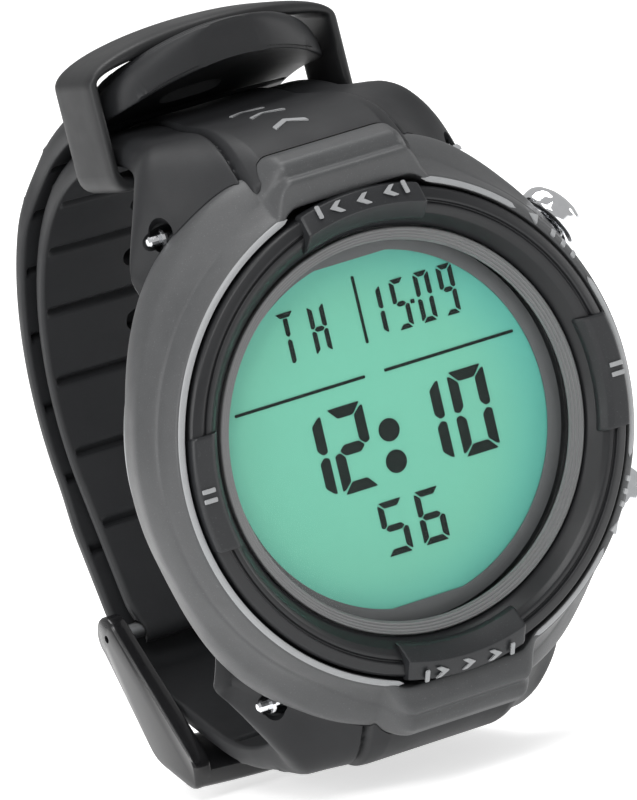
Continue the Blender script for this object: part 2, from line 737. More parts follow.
@dataclass
class CaseShell:
    """The moulded case, its lugs at 12 and 6 o'clock and the painted strips on its rim."""

    shop: Workshop
    flank: tuple[Point2, ...] = (
        (21.02, 13.3), (21.15, 13.55), (21.75, 13.4), (21.95, 12.95), (22.2, 12.35), (22.42, 11.75),
        (22.55, 11.25), (22.72, 11.05), (22.95, 10.4), (23.2, 9.4), (23.35, 8.4), (22.9, 6.4), (22.3, 4.2),
        (20.95, 1.95))
    lug: tuple[Point2, ...] = (
        (21.02, 13.3), (21.2, 13.5), (22.3, 13.68), (23.15, 13.82), (23.45, 13.6), (23.62, 13.12),
        (23.85, 12.98), (24.4, 12.95), (24.95, 12.55), (25.2, 11.9), (25.6, 10.9), (25.35, 8.6), (23.9, 4.6),
        (22.7, 2.5))
    cavity: tuple[Point2, ...] = ((16.8, 1.9), (16.8, 9.75), (21.0, 9.75))
    lug_half: float = 5.0
    lug_fade: float = 2.6
    shoulder: float = 2.0
    strips: tuple[tuple[float, float], ...] = ((108.0, 254.0), (46.8, 72.2), (-21.8, 22.6), (-70.6, -43.3))
    pointers: tuple[float, ...] = (41.6, -38.2)
    ticks: tuple[float, ...] = (35.5, 32.0, 28.5, -26.5, -29.5, -32.5)
    buttons: tuple[float, ...] = (30.0, -30.0)
    button_height: float = 5.3

    def angles(self) -> np.ndarray:
        """Turning angles, closer together beside the lugs."""
        wide = np.linspace(0, 2 * pi, 300, endpoint=False)
        near = np.concatenate([pi / 2 * side + hand * np.linspace(0.17, 0.40, 40)
                               for side in (1, 3) for hand in (1, -1)])
        return np.unique(np.round(np.concatenate([wide, near]), 5))

    def ring(self, angle: float, inside: Sequence[Point2]) -> np.ndarray:
        """The section at one angle, morphed from flank to lug near 12 and 6 o'clock.

        Args:
            angle: the place round the dial, in radians.
            inside: the points that close the section on its inner side.

        Returns:
            The rounded section in radius and height.
        """
        off = min(abs(angle - pi / 2), abs(angle - 3 * pi / 2))
        turn = degrees(off)
        points = []
        for (r, z), (y, lift) in zip(self.flank, self.lug):
            top = 10.6 + 2.4 * smooth_step((45 - turn) / 27)
            grown = r + (self.shoulder * smooth_step((top - z) / 4.5) * smooth_step((76 - turn) / 40)
                         * smooth_step((z - 1.9) / 1.6))
            side = grown * sin(min(off, pi / 2))
            share = 1 - smooth_step((side - self.lug_half) / self.lug_fade)
            far = y / max(cos(off), 0.5)
            points.append((grown + (far - grown) * share, z + (lift - z) * share))
        return chaikin(np.array(points + list(inside)), 2)

    def solid(self, name: str, inside: Sequence[Point2]) -> bpy.types.Object:
        """Sweep the section round the dial."""
        rings = []
        for angle in self.angles():
            profile = self.ring(angle, inside)
            rings.append(np.column_stack([profile[:, 0] * cos(angle), profile[:, 0] * sin(angle),
                                          profile[:, 1]]))
        return Shape.loft(name, np.stack(rings), closed=True)

    def envelope(self) -> bpy.types.Object:
        """The case's outside as a solid tool, a hair larger, for trimming the strap ends."""
        obj = self.solid("case_envelope", ((20.6, 1.2), (0.001, 1.2), (0.001, 13.3)))
        return Shape.shift(obj, Matrix.Diagonal((1.003, 1.003, 1.0, 1.0)))

    def body(self) -> None:
        """The case itself."""
        obj = self.solid("moulded_case", self.cavity)
        for angle in self.buttons:
            bore = soften([(0, 29), (3.55, 29), (3.42, 26), (3.4, 23.05), (2.45, 23.0), (2.45, 16), (0, 16)], 0.1,
                          3, closed=False)
            tool = Shape.revolve("button_bore", bore, 72)
            Shape.combine(obj, Shape.shift(tool, button_axis(angle, self.button_height)))
        self.shop.piece(obj, "case_grey", Body.WATCH, ["case_body"], 60)

    def arc_bead(self, name: str, start: float, end: float, radius: float, height: float, half: float,
                 rise: float) -> bpy.types.Object:
        """A low rounded bead along an arc of the rim, with rounded ends."""
        count = max(8, int((end - start) / 1.2))
        rings = []
        for k, angle in enumerate(np.radians(np.linspace(start, end, count))):
            ends = min(k, count - 1 - k) / 2.0
            scale = sqrt(max(0.02, 1 - (1 - min(ends, 1.0)) ** 2))
            section = [(radius + half * scale * cos(a), height + rise * scale * sin(a) - 0.17 * half
                        * cos(a) * 2.2) for a in np.linspace(0, 2 * pi, 14, endpoint=False)]
            rings.append([(r * cos(angle), r * sin(angle), z) for r, z in section])
        return Shape.loft(name, np.array(rings), closed=False, caps=True)

    def paint(self) -> None:
        """The light strips, pointers and ticks."""
        for k, (start, end) in enumerate(self.strips):
            bead = self.arc_bead(f"rim_strip_{k + 1}", start, end, 21.42, 13.46, 0.27, 0.13)
            self.shop.piece(bead, "strip_paint", Body.WATCH)
        marks = []
        for angle in self.pointers:
            outline = np.array([(-0.6, -0.42), (0.6, -0.42), (0.0, 0.7)])
            marks.append(self.mark(outline, angle, 21.57))
        for angle in self.ticks:
            marks.append(self.mark(np.array([(-0.4, -0.25), (0.4, -0.25), (0.4, 0.25), (-0.4, 0.25)]), angle,
                                   21.57))
        self.shop.piece(Shape.join("button_marks", marks), "strip_paint", Body.WATCH)

    def mark(self, outline: np.ndarray, angle: float, radius: float) -> bpy.types.Object:
        """A small flat mark on the sloping rim."""
        obj = Shape.plate("mark", soften(outline, 0.12, 3), 0.0, 0.24, 0.05)
        lean = Matrix.Rotation(radians(38), 4, "Y")
        place = Matrix.Rotation(radians(angle), 4, "Z") @ Matrix.Translation((radius, 0, 13.2)) @ lean
        return Shape.shift(obj, place)

    def build(self) -> None:
        """Build every piece of the case."""
        self.body()
        self.paint()


@dataclass
class Bezel:
    """The black bezel ring with its four tabs, and the ridged lens ring."""

    shop: Workshop
    crown: tuple[Point2, ...] = (
        (20.82, 10.05), (20.82, 13.55), (20.6, 13.98), (19.95, 14.22), (19.72, 14.22), (19.62, 13.88),
        (19.48, 13.88), (19.38, 14.12), (19.0, 14.1), (18.55, 13.75), (17.75, 12.75), (17.5, 12.35), (17.5, 10.05))

    def ring(self) -> None:
        """The bezel ring."""
        obj = Shape.revolve("bezel_crown", soften(self.crown, 0.12, 3), 300)
        self.shop.piece(obj, "bezel_black", Body.WATCH, ["bezel_ring"], 50)

    def lens_ring(self) -> None:
        """The grey ring round the lens, with fine ridges on its slope."""
        count = 4
        slope = []
        for k in range(count):
            t = k / count
            r, z = 17.26 - 1.03 * t, 12.62 - 0.66 * t
            slope += [(r, z), (r - 0.12, z + 0.03), (r - 0.17, z - 0.14), (r - 0.22, z - 0.15)]
        outline = [(17.33, 11.8), (17.33, 12.55)] + slope + [(16.23, 11.94), (16.2, 11.78)]
        obj = Shape.revolve("ridged_ring", soften(outline, 0.03, 2), 300)
        self.shop.piece(obj, "ridge_grey", Body.WATCH, ["lens_ring"], 40)

    def tab(self, name: str, angle: float, half: float, outline: Sequence[Point2], replaces: str) -> None:
        """A tab that follows the ring: an outline in radius and height, swept across its width."""
        outline = soften(outline, 0.14, 3)
        rings = []
        offsets = np.concatenate([[-half, -half + 0.05, -half + 0.14],
                                  np.linspace(-half + 0.3, half - 0.3, 30),
                                  [half - 0.14, half - 0.05, half]])
        middle = outline.mean(axis=0)
        for across in offsets:
            edge = max(0.0, 0.14 - (half - abs(across)))
            shrink = outline + (middle - outline) * edge * 0.45
            rings.append([(sqrt(max(r * r - across * across, 0)), across, z) for r, z in shrink])
        obj = Shape.loft(name, np.array(rings), closed=False, caps=True)
        Shape.shift(obj, Matrix.Rotation(radians(angle), 4, "Z"))
        self.shop.piece(obj, "tab_black", Body.WATCH, [replaces], 40)

    def emblem(self, name: str, angle: float, radius: float, height: float, lean: float) -> None:
        """Plain raised chevrons between two bars, where a name would be."""
        parts = []
        for place in (-2.6, 0.0, 2.6):
            outline = np.array([(-0.75, -0.55), (-0.1, 0.0), (-0.75, 0.55), (-0.25, 0.55), (0.55, 0.0),
                                (-0.25, -0.55)])
            turned = np.column_stack([outline[:, 0] + place, outline[:, 1]])
            parts.append(Shape.plate("chevron", soften(turned, 0.05, 2), 0.0, 0.16, 0.03))
        for side in (-1, 1):
            bar = np.array([(4.0, -0.62), (4.4, -0.62), (4.4, 0.62), (4.0, 0.62)]) * (side, 1)
            parts.append(Shape.plate("bar", soften(bar, 0.1, 2), 0.0, 0.16, 0.03))
        obj = Shape.join(name, parts)
        place = (Matrix.Rotation(radians(angle), 4, "Z") @ Matrix.Translation((radius, 0, height))
                 @ Matrix.Rotation(radians(lean), 4, "Y") @ Matrix.Rotation(radians(90), 4, "Z"))
        Shape.shift(obj, place)
        self.shop.piece(obj, "strip_paint", Body.WATCH)

    def side_bars(self, name: str, angle: float) -> None:
        """Two short raised bars on a side tab."""
        bars = []
        for across in (-0.42, 0.42):
            outline = np.array([(-0.62, -0.2), (0.62, -0.2), (0.62, 0.2), (-0.62, 0.2)]) + (0, across)
            bars.append(Shape.plate("bar", soften(outline, 0.1, 3), 0.0, 0.2, 0.05))
        place = Matrix.Rotation(radians(angle), 4, "Z") @ Matrix.Translation((20.0, 0, 14.62))
        obj = Shape.shift(Shape.join(name, bars), place)
        self.shop.piece(obj, "strip_paint", Body.WATCH)

    def build(self) -> None:
        """Build the ring, the tabs and their marks."""
        self.ring()
        self.lens_ring()
        top = [(21.15, 13.2), (21.1, 14.3), (19.5, 15.35), (18.1, 13.9), (17.9, 13.2)]
        self.tab("tab_top", 90, 5.75, top, "bezel_tab_12")
        self.tab("tab_bottom", -90, 5.75, top, "bezel_tab_6")
        side = [(20.85, 13.2), (20.85, 14.3), (20.6, 14.6), (19.1, 14.65), (18.7, 14.4), (18.2, 13.7),
                (18.1, 13.2)]
        self.tab("tab_right", 0, 4.95, side, "bezel_tab_3")
        self.tab("tab_left", 180, 4.95, side, "bezel_tab_9")
        self.emblem("emblem_top", 90, 20.3, 14.8, 33)
        self.emblem("emblem_bottom", -90, 20.3, 14.8, 33)
        self.side_bars("side_bars_right", 0)
        self.side_bars("side_bars_left", 180)


# ------------------------------------------------------------------ display

@dataclass
class Digit:
    """A cell of the display: its corner, size and stroke."""

    left: float
    low: float
    width: float
    height: float
    stroke: float

    SEGMENTS = {"0": "abcdef", "1": "bc", "2": "abged", "5": "afgcd", "6": "afgedc", "9": "abfgcd",
                "H": "febcg", "T": "ail"}

    def outlines(self, char: str) -> list[np.ndarray]:
        """The segment outlines of one character."""
        return [self.segment(key) for key in self.SEGMENTS[char]]

    def segment(self, key: str) -> np.ndarray:
        """One segment's outline, with mitred ends and a thin gap round it."""
        w, h, t, g = self.width, self.height, self.stroke, 0.085
        mid, half = h / 2, self.stroke / 2
        shapes = {
            "a": [(g + 0.12 * t, h), (w - g - 0.12 * t, h), (w - t - g, h - t), (t + g, h - t)],
            "d": [(g + 0.12 * t, 0), (t + g, t), (w - t - g, t), (w - g - 0.12 * t, 0)],
            "g": [(g + half, mid), (t + g, mid + half), (w - t - g, mid + half), (w - g - half, mid),
                  (w - t - g, mid - half), (t + g, mid - half)],
            "f": [(0, h - g - 0.25 * t), (0, mid + g + 0.2 * t), (half, mid + g), (t, mid + half + g),
                  (t, h - t - g), (0.3 * t, h - 0.35 * t - g)],
            "b": [(w, h - g - 0.25 * t), (w, mid + g + 0.2 * t), (w - half, mid + g), (w - t, mid + half + g),
                  (w - t, h - t - g), (w - 0.3 * t, h - 0.35 * t - g)],
            "e": [(0, g + 0.25 * t), (0, mid - g - 0.2 * t), (half, mid - g), (t, mid - half - g),
                  (t, t + g), (0.3 * t, 0.35 * t + g)],
            "c": [(w, g + 0.25 * t), (w, mid - g - 0.2 * t), (w - half, mid - g), (w - t, mid - half - g),
                  (w - t, t + g), (w - 0.3 * t, 0.35 * t + g)],
            "i": [(w / 2 - half, h - t - g), (w / 2 - half, mid + g + half), (w / 2, mid + g),
                  (w / 2 + half, mid + g + half), (w / 2 + half, h - t - g)],
            "l": [(w / 2 - half, mid - g - half), (w / 2 - half, t * 0.2), (w / 2, 0), (w / 2 + half, t * 0.5),
                  (w / 2 + half, mid - g - half), (w / 2, mid - g)],
        }
        outline = np.array(shapes[key]) + (self.left, self.low)
        return soften(outline, 0.16 * t, 2)


@dataclass
class Display:
    """Lens, printed mask, display panel and the dark segments."""

    shop: Workshop
    window: float = 15.3
    flat: float = 14.9
    panel_top: float = 9.5

    def lens(self) -> None:
        """The lens: a thick disc with a polished chamfer."""
        outline = [(0, 11.72), (16.9, 11.72), (17.25, 11.45), (17.25, 10.3), (17.1, 10.16), (0, 10.16)]
        obj = Shape.revolve("clear_lens", np.array(outline), 200)
        self.shop.piece(obj, "lens_glass", Body.WATCH, ["lens"], 40)

    def mask(self) -> None:
        """The printed mask with its flat-sided window."""
        rings = []
        for a in np.linspace(0, 2 * pi, 360, endpoint=False):
            edge = min(self.window, self.flat / max(abs(sin(a)), 0.05))
            section = [(16.58, 9.78), (16.58, 9.63), (edge, 9.63), (edge, 9.74), (edge + 0.05, 9.78)]
            rings.append([(r * cos(a), r * sin(a), z) for r, z in section])
        obj = Shape.loft("window_mask", np.array(rings), closed=True)
        self.shop.piece(obj, "mask_print", Body.WATCH, ["lcd_mask"], 40)

    def panel(self) -> None:
        """The display panel."""
        outline = np.array([(min(16.4, 15.6 / max(abs(sin(a)), 0.05)) * cos(a),
                             min(16.4, 15.6 / max(abs(sin(a)), 0.05)) * sin(a))
                            for a in np.linspace(0, 2 * pi, 256, endpoint=False)])
        obj = Shape.plate("display_panel", outline, 8.1, self.panel_top, 0.05)
        self.shop.piece(obj, "display_green", Body.WATCH, ["lcd_panel"], 40)

    def outlines(self) -> list[np.ndarray]:
        """Every dark segment, line and dot."""
        marks: list[np.ndarray] = []
        rows = (
            (Digit(-9.4, -4.35, 3.45, 7.45, 0.95), "1"), (Digit(-5.4, -4.35, 3.55, 7.45, 0.95), "2"),
            (Digit(2.15, -4.35, 3.45, 7.45, 0.95), "1"), (Digit(6.55, -4.35, 3.55, 7.45, 0.95), "0"),
            (Digit(-2.65, -10.6, 2.5, 4.7, 0.55), "5"), (Digit(0.95, -10.6, 2.5, 4.7, 0.55), "6"),
            (Digit(-8.0, 7.8, 1.9, 4.4, 0.42), "T"), (Digit(-4.85, 7.8, 1.55, 4.4, 0.42), "H"),
            (Digit(0.75, 7.8, 1.5, 4.4, 0.42), "1"), (Digit(3.2, 7.8, 1.5, 4.4, 0.42), "5"),
            (Digit(5.55, 7.8, 1.5, 4.4, 0.42), "0"), (Digit(7.85, 7.8, 1.5, 4.4, 0.42), "9"))
        for cell, char in rows:
            marks += cell.outlines(char)
        marks += [self.bar(-13.7, -0.95, 4.93, 0.13), self.bar(0.95, 13.7, 4.93, 0.13)]
        marks.append(self.bar(7.6, 13.5, 0.0, 0.13)[:, ::-1])
        marks += [self.dot(0.12, -0.07, 1.0), self.dot(0.12, -2.85, 1.0)]
        marks.append(soften([(4.86, 9.75), (5.22, 9.75), (5.22, 10.1), (4.86, 10.1)], 0.05, 2))
        return marks

    @staticmethod
    def bar(start: float, end: float, level: float, half: float) -> np.ndarray:
        """A thin line along x."""
        return soften([(start, level - half), (end, level - half), (end, level + half), (start, level + half)],
                      half, 4)

    @staticmethod
    def dot(x: float, y: float, radius: float) -> np.ndarray:
        """A round dot."""
        return np.array([(x + radius * cos(a), y + radius * sin(a))
                         for a in np.linspace(0, 2 * pi, 40, endpoint=False)])

    def segments(self) -> None:
        """The dark marks, as thin plates just above the panel."""
        low = self.panel_top + 0.015
        plates = [Shape.plate("segment", outline, low, low + 0.05) for outline in self.outlines()]
        self.shop.piece(Shape.join("dark_segments", plates), "segment_ink", Body.WATCH)

    def build(self) -> None:
        """Build the display."""
        self.lens()
        self.mask()
        self.panel()
        self.segments()


# ------------------------------------------------------------------ back

@dataclass
class BackPlate:
    """Back plate, battery cover and screws."""

    shop: Workshop
    repeats: Repeats
    screw_radius: float = 18.4
    screw_angles: tuple[float, ...] = (60.0, 120.0, 240.0, 300.0)

    def plate(self) -> None:
        """The back plate with its countersunk holes."""
        outline = soften([(20.38, 0.0), (20.38, 1.48), (13.42, 1.48), (13.42, 0.0)], 0.18, 4)
        obj = Shape.revolve("back_plate", outline, 240)
        for angle in self.screw_angles:
            tool = Shape.revolve("bore", np.array([(0, 2.5), (0.8, 2.5), (0.8, 0.95), (1.4, 0.95), (1.45, 0.0),
                                                   (1.7, -0.5), (0, -0.5)]), 32)
            spot = Matrix.Rotation(radians(angle), 4, "Z") @ Matrix.Translation((self.screw_radius, 0, 0))
            Shape.combine(obj, Shape.shift(tool, spot))
        self.shop.piece(obj, "turned_steel", Body.WATCH, ["case_back"], 35)

    def screws(self) -> None:
        """Four screws with cross recesses, copied round the dial."""
        outline = soften([(0.0001, 4.35), (0.4, 4.35), (0.52, 4.1), (0.52, 0.8), (1.12, 0.8), (1.15, 0.3),
                          (0.85, 0.16), (0.0001, 0.14)], 0.06, 2, closed=False)
        screw = Shape.revolve("screw", outline, 32)
        for turn in (20, 110):
            slot = Shape.plate("slot", np.array([(-0.75, -0.13), (0.75, -0.13), (0.75, 0.13), (-0.75, 0.13)]),
                               -0.3, 0.42)
            Shape.combine(screw, Shape.shift(slot, Matrix.Rotation(radians(turn), 4, "Z")))
        copies = [Shape.shift(self.copy(screw), Matrix.Rotation(radians(angle), 4, "Z")
                              @ Matrix.Translation((self.screw_radius, 0, 0))) for angle in self.screw_angles]
        bpy.data.objects.remove(screw)
        whole = Shape.join("back_screws", copies)
        nodes = [f"case_screw_{k}" for k in range(1, 5)]
        self.shop.piece(whole, "plain_steel", Body.WATCH, nodes, 35)

    @staticmethod
    def copy(obj: bpy.types.Object) -> bpy.types.Object:
        """A linked copy of an object with its own mesh."""
        twin = bpy.data.objects.new(obj.name, obj.data.copy())
        bpy.context.scene.collection.objects.link(twin)
        return twin

    def cover(self) -> None:
        """The battery cover: two grip recesses beside a flush bar, and milled notches on its rim."""
        outline = soften([(0.0001, 0.0), (13.08, 0.0), (13.08, 1.28), (0.0001, 1.28)], 0.15, 3, closed=False)
        obj = Shape.revolve("battery_lid", outline, 200)
        for side in (1, -1):
            arc = [(9.5 * cos(a), 9.5 * sin(a)) for a in np.linspace(radians(15.9), radians(164.1), 60)]
            scoop = Shape.plate("scoop", soften(np.array(arc) * (1, side), 0.5, 3), -0.5, 0.75, 0.0)
            Shape.combine(obj, scoop)
        notch = Shape.plate("notch", np.array([(-0.35, -0.16), (0.5, -0.16), (0.5, 0.16), (-0.35, 0.16)]),
                            -0.2, 0.35)
        metal = self.shop.palette.materials["turned_steel"]
        Shape.combine(obj, self.repeats.round_dial("notches", notch, 48, 12.75, 0.0, metal))
        self.shop.piece(obj, "turned_steel", Body.DOOR, ["battery_cover"], 35)

    def build(self) -> None:
        """Build the back."""
        self.plate()
        self.screws()
        self.cover()


# ------------------------------------------------------------------ buttons and strap bars

@dataclass
class PushButton:
    """One chrome push button, along its own outward axis."""

    shop: Workshop
    repeats: Repeats
    label: str
    angle: float
    body: Body
    height: float = 5.3

    def place(self, obj: bpy.types.Object, along: float = 0.0) -> bpy.types.Object:
        """Lay z along the button's outward direction."""
        return Shape.shift(obj, button_axis(self.angle, self.height, along))

    def build(self) -> None:
        """Build the plunger, its sleeve, clip and spring."""
        cap = [(0.0001, 26.9), (1.2, 26.86), (2.1, 26.7), (2.75, 26.3), (3.02, 25.9), (3.1, 25.5), (3.1, 24.75),
               (3.0, 24.45), (2.7, 24.3), (2.3, 24.3), (2.3, 25.5), (1.0, 25.5), (1.0, 16.75), (0.7, 16.75),
               (0.7, 16.2), (1.0, 16.2), (1.0, 15.7), (0.0001, 15.7)]
        plunger = Shape.revolve(f"{self.label}_cap", soften(cap, 0.1, 3, closed=False), 96)
        self.shop.piece(self.place(plunger), "polished_chrome", self.body, [f"{self.label}_plunger"], 35)
        sleeve = soften([(2.15, 22.85), (2.15, 16.95), (1.25, 16.95), (1.25, 19.0), (1.7, 19.0), (1.7, 20.0),
                         (1.25, 20.0), (1.25, 22.85)], 0.08, 2)
        self.shop.piece(self.place(Shape.revolve(f"{self.label}_guide", sleeve, 64)), "polished_chrome",
                        Body.WATCH, [f"{self.label}_sleeve"], 35)
        metal = self.shop.palette.materials["plain_steel"]
        spring = self.repeats.spring(f"{self.label}_coil", 3.0, 1.62, 1.85, 0.2, metal)
        self.shop.piece(self.place(spring, 23.3), "plain_steel", Body.WATCH, [f"{self.label}_spring"], 35)


@dataclass
class StrapBar:
    """A strap bar's tube, turned with two shallow grooves."""

    shop: Workshop
    label: str
    side: int
    across: float = 20.5
    height: float = 4.2

    def build(self) -> None:
        """Build the tube."""
        outline = [(0.62, 12.88), (0.82, 12.88), (0.9, 12.8), (0.9, 10.0), (0.84, 9.9), (0.84, 9.6), (0.9, 9.5),
                   (0.9, -9.5), (0.84, -9.6), (0.84, -9.9), (0.9, -10.0), (0.9, -12.8), (0.82, -12.88),
                   (0.62, -12.88), (0.62, -9.6), (0.0001, -9.6), (0.0001, 9.6), (0.62, 9.6)]
        obj = Shape.revolve(f"strap_bar_{self.label}", np.array(outline), 48)
        lay = Matrix.Translation((0, self.side * self.across, self.height)) @ Matrix.Rotation(pi / 2, 4, "Y")
        self.shop.piece(Shape.shift(obj, lay), "polished_chrome", Body.WATCH, [f"spring_bar_{self.label}"], 35)


# ------------------------------------------------------------------ strap

class Route:
    """The strap's line in the y-z plane, made of arcs and straight runs.

    A heading of a degrees gives the direction (-sin a, -cos a) and the outward normal
    (cos a, -sin a), which points away from the wrist.
    """

    def __init__(self, start: Point2, heading: float, runs: Sequence[Point2]) -> None:
        """Lay out the runs.

        Args:
            start: the first point.
            heading: the first heading, in degrees.
            runs: each run's length and its turn in degrees.
        """
        self.runs = []
        point, angle = np.array(start, dtype=float), heading
        for length, turn in runs:
            self.runs.append((point, angle, length, turn))
            point, angle = self.step(point, angle, length, turn, length)
        self.length = float(sum(length for length, _ in runs))

    @staticmethod
    def step(point: np.ndarray, angle: float, length: float, turn: float, distance: float):
        """Point and heading after a distance along one run."""
        first = radians(angle)
        if not turn:
            return point + distance * np.array([-sin(first), -cos(first)]), angle
        radius = length / radians(turn)
        last = first + distance / radius
        return (point + radius * np.array([cos(last) - cos(first), sin(first) - sin(last)]),
                angle + turn * distance / length)

    def at(self, distance: float):
        """Point, direction and outward normal at a running length."""
        rest = distance
        for k, (point, angle, length, turn) in enumerate(self.runs):
            if rest <= length or k == len(self.runs) - 1:  # the last run carries on past its end
                spot, angle = self.step(point, angle, length, turn, rest)
                break
            rest -= length
        a = radians(angle)
        return spot, np.array([-sin(a), -cos(a)]), np.array([cos(a), -sin(a)])


@dataclass
class StrapLoop:
    """The loop that both strap halves share, as driving sizes."""

    centre: Point2 = (4.0, -9.5)
    inner: float = 22.8
    outer: float = 25.85
    half_width: float = 11.0
    thick: float = 1.4
    pitch: float = 6.8
    wrap: float = 110.0
    upper_start: float = -42.0
    tail_turn: float = 25.0
    tail_radius: float = 38.0
    tail_free: float = 17.6
    buckle_run: float = 13.6
    tail_run: float = 14.3
    bend: float = 5.2
    bend_turn: float = 50.0
    buckle_straight: float = 13.0
    lug_radius: float = 17.6
    lug_turn: float = 65.6

    def spot(self, radius: float, angle: float) -> Point2:
        """A point of the loop's arcs."""
        return (self.centre[0] + radius * cos(radians(angle)), self.centre[1] - radius * sin(radians(angle)))

    def upper(self) -> Route:
        """The upper half's line, from the case to the buckle pin."""
        turn = self.wrap - self.upper_start
        return Route(self.spot(self.inner, self.upper_start), self.upper_start,
                     [(self.inner * radians(turn), turn), (self.buckle_run, 0.0)])

    def lower(self) -> Route:
        """The lower half's line, from the tail's tip to the case."""
        turn, free = self.wrap - self.tail_turn, degrees(self.tail_free / self.tail_radius)
        first, last = radians(self.tail_turn - free), radians(self.tail_turn)
        y, z = self.spot(self.outer, self.tail_turn)
        tip = (y - self.tail_radius * (cos(last) - cos(first)), z - self.tail_radius * (sin(first) - sin(last)))
        return Route(tip, self.tail_turn - free,
                     [(self.tail_free, free), (self.outer * radians(turn), turn), (self.tail_run, 0.0),
                      (self.bend * radians(self.bend_turn), self.bend_turn), (self.buckle_straight, 0.0),
                      (self.lug_radius * radians(self.lug_turn), self.lug_turn)])

    def turn_end(self) -> float:
        """Where the lower half leaves its tight bend."""
        return (self.tail_free + self.outer * radians(self.wrap - self.tail_turn) + self.tail_run
                + self.bend * radians(self.bend_turn))

    def pin(self) -> np.ndarray:
        """The buckle pin's place."""
        route = self.upper()
        return route.at(route.length)[0]


Surface = Callable[[float, np.ndarray, float], np.ndarray]


